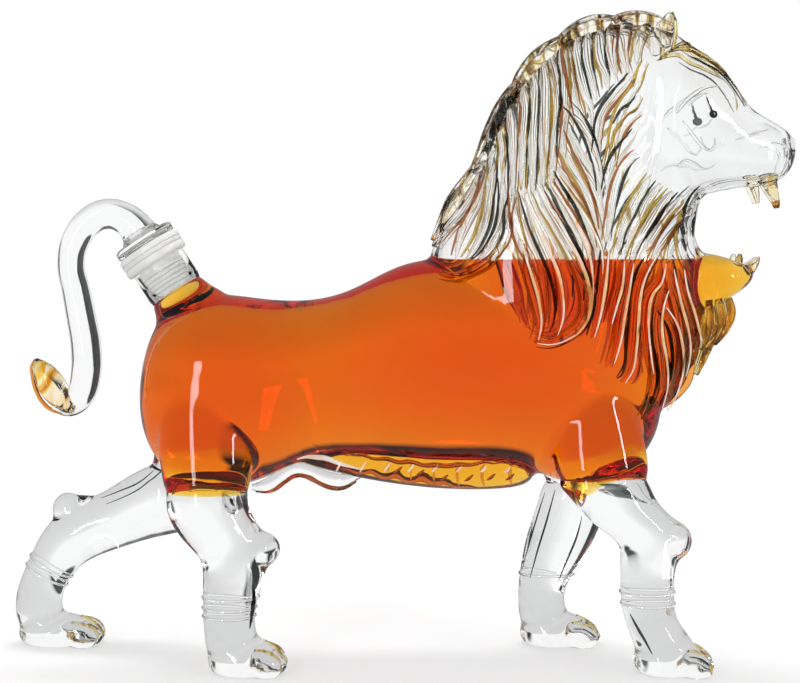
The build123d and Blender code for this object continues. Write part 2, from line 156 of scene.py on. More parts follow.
def surround():
    """White where it is looked at, and banded with grey for what the glass bends and mirrors."""
    world = bpy.data.worlds.new("surround")
    world.use_nodes = True
    scene.world = world
    tree = world.node_tree
    tree.nodes.clear()
    place = node_in(tree, "ShaderNodeTexCoord")
    banded = dark_corners(tree, place.outputs["Generated"])
    soft, mirrored, bent, seen_white = [
        node_in(tree, "ShaderNodeBackground", {"Color": colour})
        for colour in (grey(0.7), grey(0.3), banded, grey(1.0))
    ]
    looks = {"Is Glossy Ray": mirrored, "Is Transmission Ray": bent, "Is Camera Ray": seen_white}
    node_in(tree, "ShaderNodeOutputWorld", {"Surface": by_ray(tree, soft, looks)})


surround()


def floor_material():
    """White paper sweep: mostly its own white, with enough matt surface to hold a shadow. Seen
    through the glass it shows painted shade: the surround's dark bands far out, and a grey that
    deepens near the lion.
    """
    material = bpy.data.materials.new("paper_sweep")
    material.use_nodes = True
    tree = material.node_tree
    tree.nodes.clear()
    place = node_in(tree, "ShaderNodeTexCoord").outputs["Object"]
    reach = node_in(tree, "ShaderNodeVectorMath", {0: place}, operation="LENGTH").outputs["Value"]
    heading = node_in(tree, "ShaderNodeVectorMath", {0: place}, operation="NORMALIZE")
    matt_share = spread(tree, reach, 0.15, 0.75, 0.45, 0.0, "SMOOTHSTEP")
    # Painted shade: to rays bent through the glass the floor glows greyer near the lion.
    painted_shade_near_lion = spread(tree, reach, 0.1, 0.6, 0.7, 1.0, "SMOOTHSTEP")
    far_out = spread(tree, reach, 0.3, 0.65, 0.0, 1.0, "SMOOTHSTEP")
    banded = mixed(tree, far_out, grey(1.0), dark_corners(tree, heading))
    shaded = mixed(tree, 1.0, banded, painted_shade_near_lion, "MULTIPLY")
    glow, mirrored, behind = [
        node_in(tree, "ShaderNodeEmission", {"Color": colour})
        for colour in (grey(1.0), grey(0.35), shaded)
    ]
    matt = node_in(tree, "ShaderNodeBsdfDiffuse", {"Color": grey(0.95)})
    blend = node_in(tree, "ShaderNodeMixShader", {0: matt_share, 1: glow, 2: matt})
    looks = {"Is Reflection Ray": mirrored, "Is Transmission Ray": behind}
    node_in(tree, "ShaderNodeOutputMaterial", {"Surface": by_ray(tree, blend, looks)})
    return material


def mesh_of(name, build):
    """The mesh of a finished build."""
    mesh = bpy.data.meshes.new(name)
    build.to_mesh(mesh)
    build.free()
    return mesh


floor_build = bmesh.new()
bmesh.ops.create_grid(floor_build, x_segments=1, y_segments=1, size=4.0)
floor = object_of("floor", mesh_of("floor", floor_build))
floor.data.materials.append(floor_material())


def lamp(name, place, aim, width, height, watts):
    """A soft box that faces the lion."""
    data = bpy.data.lights.new(name, "AREA")
    data.shape = "RECTANGLE"
    data.size = width
    data.size_y = height
    data.energy = watts
    item = object_of(name, data)
    item.location = place
    heading = (Vector(aim) - Vector(place)).normalized()
    item.rotation_euler = heading.to_track_quat("-Z", "Y").to_euler()
    return item


lamp("soft_box_left", (-0.5, -0.95, 0.36), (0, 0, 0.14), 0.12, 0.6, 2.2)
lamp("soft_box_right", (0.95, -0.8, 0.55), (0, 0, 0.15), 0.09, 0.5, 2.6)
overhead = lamp("soft_box_top", (0.0, 0.3, 1.4), (0, 0, 0.1), 0.6, 0.3, 8.0)
overhead.visible_glossy = False
overhead.visible_transmission = False

# The blown and worked glass figure: one fused skin of torso, neck, head, jaw, legs and
# paws, hollow down to the tops of the legs.  It is drawn on the model's grid of squares.
wall = 0.0026
ring_sides = 24
view_sides = {"near": -1, "far": 1}


def spot(along, up, aside=0.0):
    """A place on the grid, in metres."""
    level = (up - ground_line) * square
    return Vector(((along - middle_along) * square + middle_x, aside * square + middle_y, level))


def skin_over(build, ovals):
    """One closed skin through ovals: for each its centre and its two half widths as vectors."""
    rings = []
    for centre, one_way, other_way in ovals:
        out = one_way.cross(other_way).normalized()
        turn = Matrix((one_way, other_way, out)).transposed().to_4x4()
        made = bmesh.ops.create_circle(
            build, cap_ends=False, segments=ring_sides, radius=1.0,
            matrix=Matrix.Translation(centre) @ turn,
        )
        rings.append(list({edge for vert in made["verts"] for edge in vert.link_edges}))
    for one, other in zip(rings, rings[1:]):
        bmesh.ops.bridge_loops(build, edges=one + other)
    for end in (rings[0], rings[-1]):
        bmesh.ops.contextual_create(build, geom=end)


def lying(build, rows, inset=0.0):
    """A form through upright ovals: along, top, bottom, half width."""
    ovals = []
    for along, top, bottom, half_width in rows:
        half_wide = half_width * square - inset
        half_tall = (top - bottom) / 2 * square - inset
        centre = spot(along, (top + bottom) / 2)
        ovals.append((centre, Vector((0, half_wide, 0)), Vector((0, 0, half_tall))))
    ovals[0][0].x += inset
    ovals[-1][0].x -= inset
    skin_over(build, ovals)


def standing(build, rows, inset=0.0):
    """A form through level ovals: up, along, aside, half length, half width."""
    ovals = []
    for up, along, aside, half_length, half_width in rows:
        one_way = Vector((half_length * square - inset, 0, 0))
        other_way = Vector((0, half_width * square - inset, 0))
        ovals.append((spot(along, up, aside), one_way, other_way))
    inward = math.copysign(inset, rows[-1][0] - rows[0][0])
    ovals[0][0].z += inward
    ovals[-1][0].z -= inward
    skin_over(build, ovals)


def limb(build, rows):
    """A round form along a bent line: along, up, aside, radius in squares."""
    points = [spot(*row[:3]) for row in rows]
    ovals = []
    for number, (point, row) in enumerate(zip(points, rows)):
        radius = row[3] * square
        ahead = points[min(number + 1, len(points) - 1)] - points[max(number - 1, 0)]
        one_way = Vector((0, 1, 0)).cross(ahead).normalized() * radius
        ovals.append((point, Vector((0, radius, 0)), one_way))
    skin_over(build, ovals)


def ball(build, place, halves, turn=0.0):
    """An egg of glass at a place, with its three half sizes in squares, tipped about Y."""
    shape = Matrix.Diagonal(Vector(halves) * square).to_4x4()
    tip = Matrix.Rotation(math.radians(turn), 4, "Y")
    set_up = Matrix.Translation(spot(*place)) @ tip @ shape
    bmesh.ops.create_icosphere(build, subdivisions=3, radius=1.0, matrix=set_up)


torso_rows = [
    (141, 285, 252, 14), (145, 306, 231, 34), (152, 332, 214, 52), (166, 355, 192, 68),
    (195, 371, 180, 80), (232, 371, 177, 83), (262, 366, 183, 80), (290, 364, 198, 76),
    (318, 365, 207, 73), (353, 374, 206, 75), (398, 402, 202, 80), (440, 408, 198, 84),
    (500, 408, 200, 85), (535, 405, 194, 84), (560, 400, 180, 82), (604, 378, 180, 74),
    (636, 345, 198, 60), (654, 310, 226, 38), (660, 288, 248, 16),
]
keel_rows = [
    (292, 226, 210, 12), (300, 234, 202, 24), (318, 238, 196, 31), (350, 238, 188, 35),
    (383, 236, 182, 36), (411, 234, 178, 36), (444, 232, 175, 36), (481, 232, 174, 36),
    (512, 230, 176, 33), (528, 226, 180, 26), (536, 216, 190, 14),
]
throat_rows = [
    (236, 566, 0, 72, 44), (264, 566, 0, 112, 70), (304, 566, 0, 128, 80),
    (344, 567, 0, 137, 83), (384, 567, 0, 141, 82), (412, 566, 0, 137, 80),
    (424, 565, 0, 131, 79), (440, 568, 0, 125, 77), (456, 573, 0, 122, 75),
    (468, 579, 0, 124, 74), (494, 590, 0, 112, 72), (534, 601, 0, 106, 68),
    (574, 610, 0, 96, 62), (604, 618, 0, 80, 52), (626, 625, 0, 58, 38), (640, 632, 0, 30, 20),
]
muzzle_rows = [
    (640, 606, 462, 48), (670, 616, 464, 52), (694, 614, 466, 50), (712, 602, 470, 45),
    (728, 586, 474, 41), (742, 566, 476, 37), (752, 554, 477, 34), (765, 547, 478, 31),
    (777, 540, 481, 27), (786, 534, 488, 22), (792, 528, 497, 15), (795, 522, 508, 7),
]
jaw_rows = [
    (676, 412, 330, 34), (700, 412, 350, 37), (716, 410, 358, 35), (731, 405, 367, 31),
    (742, 401, 374, 27), (749, 398, 381, 20), (753, 395, 387, 11),
]
haunch_rows = {
    "near": [
        (322, 206, -36, 26, 22), (284, 208, -44, 43, 33), (245, 211, -51, 48, 34),
        (212, 213, -58, 47, 33), (190, 214, -63, 43, 32), (175, 213, -65, 40, 31),
    ],
    "far": [
        (322, 200, 36, 26, 22), (284, 200, 44, 43, 33), (245, 198, 51, 47, 34),
        (208, 192, 58, 46, 33), (168, 182, 65, 41, 31),
    ],
}
shoulder_rows = {
    "near": [
        (306, 586, -36, 28, 24), (266, 588, -46, 42, 32), (232, 591, -53, 46, 33),
        (208, 594, -59, 47, 32), (184, 597, -65, 44, 30),
    ],
    "far": [
        (306, 584, 36, 28, 24), (266, 585, 46, 40, 31), (232, 584, 53, 42, 32),
        (200, 583, 60, 40, 31), (168, 583, 65, 36, 29),
    ],
}
# How far down the hollow goes into each limb
limb_hollow_rows = [
    [
        (310, 207, -40, 22, 22), (280, 208, -45, 37, 27), (245, 211, -51, 41, 28),
        (212, 213, -58, 40, 27), (192, 213, -64, 38, 25), (182, 214, -65, 37, 24),
        (176, 216, -65, 34, 21),
    ],
    [
        (310, 200, 40, 22, 22), (280, 200, 45, 37, 27), (245, 198, 51, 41, 28),
        (215, 194, 57, 38, 26), (203, 192, 59, 32, 22),
    ],
    [
        (296, 586, -42, 24, 24), (264, 588, -46, 36, 26), (235, 591, -52, 40, 27),
        (215, 592, -57, 38, 26), (200, 587, -62, 32, 25), (187, 580, -63, 22, 22),
        (178, 573, -63, 12, 14),
    ],
    [
        (296, 584, 42, 24, 24), (264, 585, 46, 34, 25), (235, 584, 52, 36, 26),
        (210, 582, 57, 33, 25), (192, 580, 62, 26, 20),
    ],
]
leg_rows = {
    "hind_near": [
        (184, 216, -65, 40, 31), (175, 213, -65, 40, 31), (159, 216, -66, 41, 31),
        (147, 223, -66, 42, 30), (135, 231, -66, 41, 29), (127, 236, -66, 38, 28),
        (119, 240, -66, 34, 28), (111, 241, -66, 31, 28), (97, 240, -66, 30, 27),
        (80, 237, -66, 27, 26), (64, 235, -66, 25, 25), (47, 236, -66, 25, 25),
        (35, 238, -66, 26, 26), (18, 240, -66, 24, 26),
    ],
    "fore_near": [
        (192, 596, -64, 44, 30), (187, 596, -65, 45, 30), (174, 605, -65, 41, 30),
        (161, 616, -66, 41, 30), (149, 629, -66, 43, 30), (140, 637, -66, 37, 29),
        (131, 642, -66, 31, 28), (121, 641, -66, 29, 28), (110, 639, -66, 27, 27),
        (97, 638, -66, 26, 26), (78, 638, -66, 26, 26), (61, 640, -66, 25, 25),
        (49, 646, -66, 27, 27), (36, 654, -66, 30, 29), (20, 658, -66, 28, 27),
    ],
    "fore_far": [
        (176, 584, 64, 37, 29), (166, 583, 65, 37, 29), (149, 578, 65, 37, 29),
        (123, 569, 66, 37, 28), (102, 561, 66, 34, 27), (83, 553, 66, 29, 25),
        (64, 546, 66, 24, 24), (49, 546, 66, 24, 24), (36, 549, 66, 26, 26),
        (20, 553, 66, 26, 26),
    ],
}
far_hind_rows = [
    (176, 164, 64, 40), (154, 156, 65, 38), (132, 149, 66, 35), (104, 135, 66, 30),
    (80, 127, 66, 30), (62, 118, 66, 30), (48, 104, 66, 27), (35, 82, 66, 23), (26, 60, 66, 24),
    (25, 42, 66, 25), (30, 26, 66, 24),
]
knee_places = [
    ((261, 124, -66), (25, 24, 19), -12),
    ((657, 135, -66), (25, 25, 21), 8),
    ((57, 144, 66), (17, 22, 20), -20),
    ((76, 138, 66), (30, 25, 22), 18),
]
# Paws: middle of the pad along and aside, half length, and height of the instep
paw_rows = {
    "hind_near": (252, -66, 38, 29),
    "hind_far": (48, 66, 44, 26),
    "fore_near": (662, -66, 38, 27),
    "fore_far": (564, 66, 41, 27),
}
toe_spread = (-26, -9, 9, 26)
toe_halves = (19, 10, 13)
toe_up = 11
toe_lean = 14


def paw_forms(build, along, aside, half_length, instep):
    """Pad, instep and four toes."""
    pad = (along - 3, ground_line + instep * 0.45, aside)
    back = (along - half_length * 0.35, ground_line + instep * 0.7, aside)
    ball(build, pad, (half_length * 0.93, 31, instep * 0.78))
    ball(build, back, (half_length * 0.6, 26, instep * 0.8))
    for spread_aside in toe_spread:
        tip = half_length - 14 - abs(spread_aside) * 0.2
        toe = (along + tip, ground_line + toe_up, aside + spread_aside * 0.95)
        ball(build, toe, toe_halves, toe_lean)


# The pouring neck leans back; its root is part of the blown skin and of the hollow.
neck_lean = math.radians(32.75)
neck_axis = Vector((-math.sin(neck_lean), 0, math.cos(neck_lean)))
neck_side = Vector((math.cos(neck_lean), 0, math.sin(neck_lean)))
neck_rim = spot(158.5, 401)
neck_root = [
    (-0.012, 0.0118), (-0.0155, 0.0121), (-0.019, 0.0133), (-0.023, 0.0155), (-0.029, 0.019)
]
neck_throat = [(-0.0145, 0.009), (-0.019, 0.0096), (-0.024, 0.012), (-0.032, 0.015)]


def leaning(build, rows):
    """A round form on the neck's axis, from distances to the rim and radii."""
    skin_over(build, [
        (neck_rim + neck_axis * height, Vector((0, radius, 0)), neck_side * radius)
        for height, radius in rows
    ])


def baked(item):
    """The mesh that an object's curve or modifiers make; the object itself goes."""
    view = bpy.context.evaluated_depsgraph_get()
    mesh = bpy.data.meshes.new_from_object(item.evaluated_get(view))
    bpy.data.objects.remove(item)
    return mesh


def fused(name, build, voxel, smoothing, subdivide=2):
    """One clean skin round every form in the build."""
    bmesh.ops.recalc_face_normals(build, faces=build.faces)
    rough = mesh_of(name, build)
    item = object_of(name, rough)
    if subdivide:
        rounder = item.modifiers.new("round", "SUBSURF")
        rounder.levels = rounder.render_levels = subdivide
    melt = item.modifiers.new("melt", "REMESH")
    melt.mode = "VOXEL"
    melt.voxel_size = voxel
    polish = item.modifiers.new("polish", "SMOOTH")
    polish.factor = 0.5
    polish.iterations = smoothing
    mesh = baked(item)
    bpy.data.meshes.remove(rough)
    return mesh


def blown_forms(build, muzzle, inset=0.0):
    """The blown forms of the figure, all of them as far in as the inset."""
    lying(build, torso_rows, inset)
    lying(build, keel_rows, inset)
    standing(build, throat_rows, inset)
    lying(build, muzzle, inset)
    lying(build, jaw_rows, inset)


outer_build = bmesh.new()
blown_forms(outer_build, muzzle_rows)
for word in view_sides:
    standing(outer_build, haunch_rows[word])
    standing(outer_build, shoulder_rows[word])
for rows in leg_rows.values():
    standing(outer_build, rows)
limb(outer_build, far_hind_rows)
for knee in knee_places:
    ball(outer_build, *knee)
for row in paw_rows.values():
    paw_forms(outer_build, *row)
leaning(outer_build, neck_root)
figure_mesh = fused("figure", outer_build, voxel=0.0013, smoothing=11)

hollow_build = bmesh.new()
blown_forms(hollow_build, muzzle_rows[:-1], wall)
for rows in limb_hollow_rows:
    standing(hollow_build, rows)
leaning(hollow_build, neck_throat)
hollow_mesh = fused("hollow", hollow_build, voxel=0.0016, smoothing=6)


def level_cut(mesh, height, keep_above):
    """A closed form cut level, with one half kept and closed again."""
    build = bmesh.new()
    build.from_mesh(mesh)
    bmesh.ops.bisect_plane(
        build,
        geom=build.verts[:] + build.edges[:] + build.faces[:],
        plane_co=(0, 0, height),
        plane_no=(0, 0, 1),
        clear_outer=not keep_above,
        clear_inner=keep_above,
    )
    bmesh.ops.holes_fill(build, edges=[edge for edge in build.edges if edge.is_boundary], sides=0)
    bmesh.ops.recalc_face_normals(build, faces=build.faces)
    return build


# The soles stand flat on the floor, and the hollow above the liquor is the skin's inner face.
figure_build = bmesh.new()
figure_build.from_mesh(figure_mesh)
for vert in figure_build.verts:
    vert.co.z = max(vert.co.z, 0.0)
skin_tree = BVHTree.FromBMesh(figure_build)
inner_build = level_cut(hollow_mesh, fill_height, True)
bmesh.ops.reverse_faces(inner_build, faces=inner_build.faces)
figure_build.from_mesh(mesh_of("inner", inner_build))
figure_build.to_mesh(figure_mesh)
figure_build.free()

glass_bend = 1.47
thread_ripple = 0.05


def surface(name, feeds):
    """A new material with its tree and its shader."""
    material = bpy.data.materials.new(name)
    material.use_nodes = True
    tree = material.node_tree
    return material, tree, feed(tree, tree.nodes["Principled BSDF"], feeds)


def cloud(tree, scale, detail=2.0):
    """Soft noise all through the piece."""
    place = node_in(tree, "ShaderNodeTexCoord").outputs["Object"]
    feeds = {"Vector": place, "Scale": scale, "Detail": detail}
    return node_in(tree, "ShaderNodeTexNoise", feeds).outputs["Fac"]


def glass(name, tint, ripple=0.012, bend=glass_bend):
    """Clear flame-worked glass: faint streaks of tint and a slow ripple left by the flame."""
    fixed = {"Transmission Weight": 1.0, "IOR": bend, "Roughness": 0.0}
    material, tree, shader = surface(name, fixed)
    paler = [min(1.0, value + 0.03) for value in tint]
    colours = ramp(tree, cloud(tree, 60.0, 3.0), [tint, paler], [0.35, 0.65])
    feeds = {"Strength": ripple, "Distance": 0.002, "Height": cloud(tree, 90.0, 1.0)}
    feed(tree, shader, {"Base Color": colours, "Normal": node_in(tree, "ShaderNodeBump", feeds)})
    return material


clear_glass = glass("clear_glass", (0.955, 0.962, 0.96))


def streaked(name, tint, shades, shares, bend=glass_bend, painted_liquor_tint=None):
    """Clear glass with threads of coloured glass drawn out along it."""
    material = glass(name, tint, 0.03, bend)
    tree = material.node_tree
    shader = tree.nodes["Principled BSDF"]
    base = shader.inputs["Base Color"].links[0].from_socket
    place = node_in(tree, "ShaderNodeTexCoord").outputs["Object"]
    stretch = node_in(tree, "ShaderNodeMapping", {"Vector": place, "Scale": (330.0, 90.0, 46.0)})
    feeds = {"Vector": stretch, "Scale": 1.0, "Detail": 2.0, "Distortion": 0.4}
    threads = node_in(tree, "ShaderNodeTexNoise", feeds).outputs["Fac"]
    colour = mixed(tree, 1.0, base, ramp(tree, threads, shades, shares), "MULTIPLY")
    if painted_liquor_tint:
        # Where the glass lies over the liquor it is tinted amber, painted light that stands in for
        # the liquor's colour bent through it.
        level = node_in(tree, "ShaderNodeSeparateXYZ", {0: place}).outputs["Z"]
        above = spread(tree, level, fill_height - 0.004, fill_height + 0.002)
        painted_liquor_colour = mixed(tree, above, (*painted_liquor_tint, 1.0), grey(1.0))
        colour = mixed(tree, 1.0, colour, painted_liquor_colour, "MULTIPLY")
    feed(tree, shader, {"Base Color": colour})
    return material


def piece(name, mesh, material, slot, *nodes, body="decanter"):
    """Put a finished mesh in the scene as a piece of the object."""
    mesh.name = name
    mesh.materials.clear()
    mesh.materials.append(material)
    for face in mesh.polygons:
        face.use_smooth = True
    item = object_of(name, mesh)
    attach(item, body)
    if nodes:
        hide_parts(*nodes)


legs = [f"{leg}_{part}" for leg in paw_rows for part in ("thigh", "shank", "paw")]
figure_nodes = ("body_shell", "head_shell", "lower_jaw", *legs)
piece("glass_figure", figure_mesh, clear_glass, "clear_glass", *figure_nodes)

# The liquor, which stands level with the foot of the mane and fills torso, neck and jaw.
# Glass and liquor bend light alike, so its own surface only marks where the colour starts.
surface_gap = 0.0001


def liquor_material():
    """Amber liquor: clear, and deeper in colour the more of it the light goes through."""
    fixed = {"Base Color": grey(1.0), "Transmission Weight": 1.0, "IOR": 1.0, "Roughness": 0.0}
    material, tree, shader = surface("liquor", fixed)
    feeds = {"Color": (0.98, 0.79, 0.0, 1.0), "Density": 175.0}
    soak = node_in(tree, "ShaderNodeVolumeAbsorption", feeds)
    feed(tree, tree.nodes["Material Output"], {"Volume": soak})
    return material


liquor_mesh = mesh_of("liquor", level_cut(hollow_mesh, fill_height - surface_gap, False))
piece("liquor_fill", liquor_mesh, liquor_material(), "liquor", "liquor", "jaw_liquor")

# The pouring neck, a short tube drawn out of the rump.  It leans back, its foot flares into
# the blown body, and its mouth takes the seal of the stopper.
neck_bore = 0.0101
neck_profile = [
    (-0.014, neck_bore), (-0.014, 0.0115), (-0.012, 0.0119), (-0.0016, 0.0118),
    (-0.0004, 0.0117), (0.0, 0.0111), (0.0, neck_bore), (-0.0005, neck_bore),
]


def turned(name, profile, material, slot, *nodes, body="decanter"):
    """A round piece on the neck's axis, from heights above the rim and radii."""
    build = bmesh.new()
    verts = [
        build.verts.new(neck_rim + neck_axis * height + neck_side * radius)
        for height, radius in profile
    ]
    edges = [build.edges.new(pair) for pair in zip(verts, verts[1:] + verts[:1])]
    bmesh.ops.spin(
        build, geom=verts + edges, cent=neck_rim, axis=neck_axis,
        angle=math.tau, steps=96, use_merge=True,
    )
    bmesh.ops.remove_doubles(build, verts=build.verts, dist=1e-6)
    bmesh.ops.recalc_face_normals(build, faces=build.faces)
    piece(name, mesh_of(name, build), material, slot, *nodes, body=body)


neck_glass = glass("neck_glass", (0.97, 0.98, 0.975), bend=1.2)
turned("neck_tube", neck_profile, neck_glass, "clear_glass", "pour_neck")

# The seal: a frosted plastic sleeve with a collar that rests on the neck's mouth and six soft
# ribs that grip its bore.  Fine rings of grey glass run round it between the ribs and on the
# collar, the painted shade of its grooves.
seal_bore = 0.0067
plug_waist = 0.0095
plug_rib = 0.0099
collar = 0.0139
collar_waist = 0.0136
rib_count = 6
rib_pitch = 0.0018
rib_rise = [(0.0, plug_waist), (0.0004, plug_rib), (0.0012, plug_rib), (0.0015, plug_waist)]
first_rib = -0.0128
plug_ribs = [
    (first_rib + number * rib_pitch + step, radius)
    for number in range(rib_count) for step, radius in rib_rise
]
seal_profile = [
    (-0.013, seal_bore), (-0.013, plug_waist), *plug_ribs, (0.0003, plug_waist),
    (0.0003, 0.0133), (0.001, collar), (0.003, collar), (0.0034, collar_waist),
    (0.004, collar_waist), (0.0044, collar), (0.0076, collar), (0.0084, 0.0132),
    (0.0084, 0.0072), (0.008, seal_bore),
]


def uneven(name, fixed, scale, shades, shares=(0.0, 1.0), hazes=None):
    """A material whose shade, and its haze where given, drifts between two values."""
    material, tree, shader = surface(name, fixed)
    drift = cloud(tree, scale)
    feed(tree, shader, {"Base Color": ramp(tree, drift, shades, shares)})
    if hazes:
        feed(tree, shader, {"Roughness": spread(tree, drift, 0.0, 1.0, *hazes)})
    return material


# Frosted plastic, milky and faintly uneven, with a painted glow: a weak light of its own
frosted_painted_glow = {
    "Transmission Weight": 0.4, "IOR": 1.5,
    "Emission Color": (0.97, 0.98, 0.96, 1.0), "Emission Strength": 0.1,
}
frosted_shades = [(0.93, 0.94, 0.93), (0.97, 0.97, 0.97)]
seal_plastic = uneven("seal_plastic", frosted_painted_glow, 400.0, frosted_shades, hazes=(0.28, 0.42))
turned(
    "seal_sleeve_piece", seal_profile, seal_plastic, "seal_plastic", "seal_sleeve",
    body="stopper_seal",
)
groove_places = [(-0.0112 + number * rib_pitch, plug_waist) for number in range(rib_count - 1)]
groove_places += [(0.0037, collar_waist), (0.0058, collar)]
groove_half = 0.00011
# Painted shade: the grooves' dark lines are rings of grey glass.
groove_shade_glass = glass("seal_groove_shade", (0.5, 0.51, 0.49), thread_ripple, 1.2)
for number, (height, radius) in enumerate(groove_places):
    corners = [
        (height + up * groove_half, radius + out * groove_half)
        for up, out in ((-1, -1), (1, -1), (1, 1), (-1, 1))
    ]
    turned(f"seal_groove_shade_{number}", corners, groove_shade_glass, "seal_plastic", body="stopper_seal")

# The stopper: a solid glass stem with a flange, held in the seal.  The tail is drawn from it,
# over and down to a bud of amber glass with a deeper rim.
stem_profile = [
    (-0.013, 0.0), (-0.013, 0.0055), (-0.0122, 0.0065), (0.0087, 0.0065), (0.0087, 0.0122),
    (0.0093, 0.0132), (0.0118, 0.0132), (0.0125, 0.0124), (0.0128, 0.0092), (0.015, 0.0078),
    (0.016, 0.0),
]
turned(
    "stopper_plug", stem_profile, clear_glass, "clear_glass", "stopper_stem", "stopper_flange",
    body="tail_stopper",
)


def drawn(name, lines, material, slot, *nodes, body="decanter", sides=5, steps=6):
    """A piece of rods drawn through places, each with a radius at every place."""
    data = bpy.data.curves.new(name, "CURVE")
    data.dimensions = "3D"
    data.bevel_depth = 1.0
    data.bevel_resolution = sides
    data.resolution_u = steps
    data.use_fill_caps = True
    for line in lines:
        spline = data.splines.new("BEZIER")
        spline.bezier_points.add(len(line) - 1)
        spline.radius_interpolation = "BSPLINE"
        for point, (place, radius) in zip(spline.bezier_points, line):
            point.co = place
            point.radius = radius
            point.handle_left_type = point.handle_right_type = "AUTO"
    mesh = baked(object_of(name, data))
    bpy.data.curves.remove(data)
    build = bmesh.new()
    build.from_mesh(mesh)
    bmesh.ops.remove_doubles(build, verts=build.verts, dist=1e-7)
    bmesh.ops.recalc_face_normals(build, faces=build.faces)
    build.to_mesh(mesh)
    build.free()
    piece(name, mesh, material, slot, *nodes, body=body)


def rod(rows, aside=0.0):
    """The line of a rod from its rows: along, up, radius in squares."""
    return [(spot(along, up, aside), radius * square) for along, up, radius in rows]


# Places along the tail and the bud at its end: along, up, radius in squares
tail_rows = [
    (141, 428, 19), (135, 437, 17), (124, 446, 15.5), (107, 450, 15), (90, 443, 14.5),
    (76, 424, 14), (71, 400, 13), (76, 374, 14), (81, 348, 14.5), (86, 318, 15.2),
    (86, 290, 15), (80, 268, 14), (70, 257, 10), (60, 255, 5), (52, 258, 2),
]
bud_rows = [
    (74, 256, 3), (68, 260, 9), (60, 268, 13), (51, 280, 14.5), (44, 291, 12), (38, 300, 7),
    (35, 305, 1.5),
]
drawn(
    "tail", [rod(tail_rows)], clear_glass, "clear_glass", "tail_rod",
    body="tail_stopper", sides=10, steps=10,
)
bud_shades = [
    (0.4, 0.08, 0.0), (0.95, 0.42, 0.02), (1.0, 0.78, 0.16), (1.0, 1.0, 0.95), (1.0, 0.55, 0.05)
]
bud_shares = [0.3, 0.37, 0.42, 0.46, 0.7]
amber_glass = streaked("amber_glass", (0.97, 0.93, 0.85), bud_shades, bud_shares)
bud_rim_rows = [
    (37, 305, 0.8), (32, 299, 1.6), (32.5, 288, 1.8), (36, 274, 2.0),
    (43, 261.5, 2.2), (52, 254, 2.0), (63, 251, 1.2),
]
bud_rim_glass = glass("bud_rim_glass", (0.75, 0.28, 0.04), thread_ripple, 1.3)
drawn("bud_rim", [rod(bud_rim_rows)], bud_rim_glass, "amber_glass", body="tail_stopper")
drawn(
    "tail_bud", [rod(bud_rows)], amber_glass, "amber_glass", "tail_tuft",
    body="tail_stopper", sides=10, steps=10,
)

# The mane: drawn ropes of clear glass laid hot on the neck and head, one beside the other.
# Each row is a radius in squares and the places where the lock shows in the side view.


def nearest(place):
    """The nearest place on the skin, and which way the skin faces there."""
    return skin_tree.find_nearest(place)[:2]


def seen(across, down):
    """Where the sight line through a place of the side view meets the near skin."""
    eye = camera.location
    aim = Vector(((across - middle_along) * square, camera_reach, (level_line - down) * square))
    sight = aim.normalized()
    place, normal = skin_tree.ray_cast(eye, sight)[:2]
    if place is None:
        return nearest(eye + sight * (camera_reach / sight.y))
    return place, normal


crest_rows = [
    (9, [(668, 24), (652, 16), (636, 14), (622, 22), (612, 36)]),
    (9, [(620, 26), (604, 33), (590, 29), (574, 32), (560, 46)]),
    (8, [(566, 40), (550, 52), (536, 61), (522, 76), (512, 92)]),
    (8, [(520, 82), (504, 92), (495, 108), (490, 130), (486, 152), (478, 172)]),
    (6, [(482, 160), (470, 182), (456, 202), (442, 220), (431, 240)]),
]
sweep_rows = [
    (4.6, [(512, 84), (500, 92), (494, 106), (494, 130), (494, 150), (490, 172)]),
    (4.8, [(516, 82), (507, 92), (504, 108), (504, 130), (504, 152), (503, 182)]),
    (4.4, [(520, 78), (515, 92), (514, 110), (514, 140), (514, 172), (513, 202)]),
    (4.6, [(520, 72), (526, 92), (527, 110), (525, 132), (523, 152), (521, 188)]),
    (4.8, [(530, 64), (537, 84), (536, 108), (534, 132), (533, 160), (532, 194)]),
    (5.2, [(541, 56), (546, 76), (546, 100), (545, 130), (544, 160), (542, 190)]),
    (4.4, [(549, 52), (554, 70), (557, 92), (558, 114), (556, 138), (553, 164), (550, 186)]),
    (4.6, [(561, 34), (564, 54), (566, 80), (566, 106), (563, 130), (562, 157)]),
    (4.4, [(571, 30), (569, 48), (570, 66), (573, 84), (575, 98), (580, 114)]),
    (4.6, [(577, 28), (578, 50), (580, 70), (584, 88), (590, 106), (592, 124)]),
    (4.4, [(590, 29), (588, 46), (588, 62), (592, 80), (596, 98)]),
    (4.8, [(601, 28), (600, 45), (601, 60), (606, 74), (608, 88)]),
    (5.4, [(621, 14), (616, 28), (612, 44), (612, 60), (616, 74)]),
    (5.2, [(636, 12), (628, 26), (624, 42), (624, 58), (628, 72)]),
    (5.0, [(651, 22), (643, 34), (638, 48), (637, 62)]),
    (4.2, [(632, 76), (624, 86), (614, 98), (604, 112), (600, 124), (598, 140), (597, 152)]),
    (4.2, [(640, 82), (630, 96), (620, 112), (615, 130), (612, 150), (608, 172)]),
    (4.4, [(567, 103), (577, 114), (585, 128), (592, 144), (598, 166), (602, 190)]),
    (4.2, [(568, 128), (577, 148), (586, 166), (594, 184), (600, 206), (604, 228)]),
    (4.2, [(562, 146), (570, 162), (580, 180), (590, 200), (597, 222), (602, 246)]),
    (4.4, [(558, 168), (569, 186), (580, 204), (590, 226), (598, 250)]),
    (3.6, [(646, 62), (641, 72), (638, 84), (634, 92)]),
]
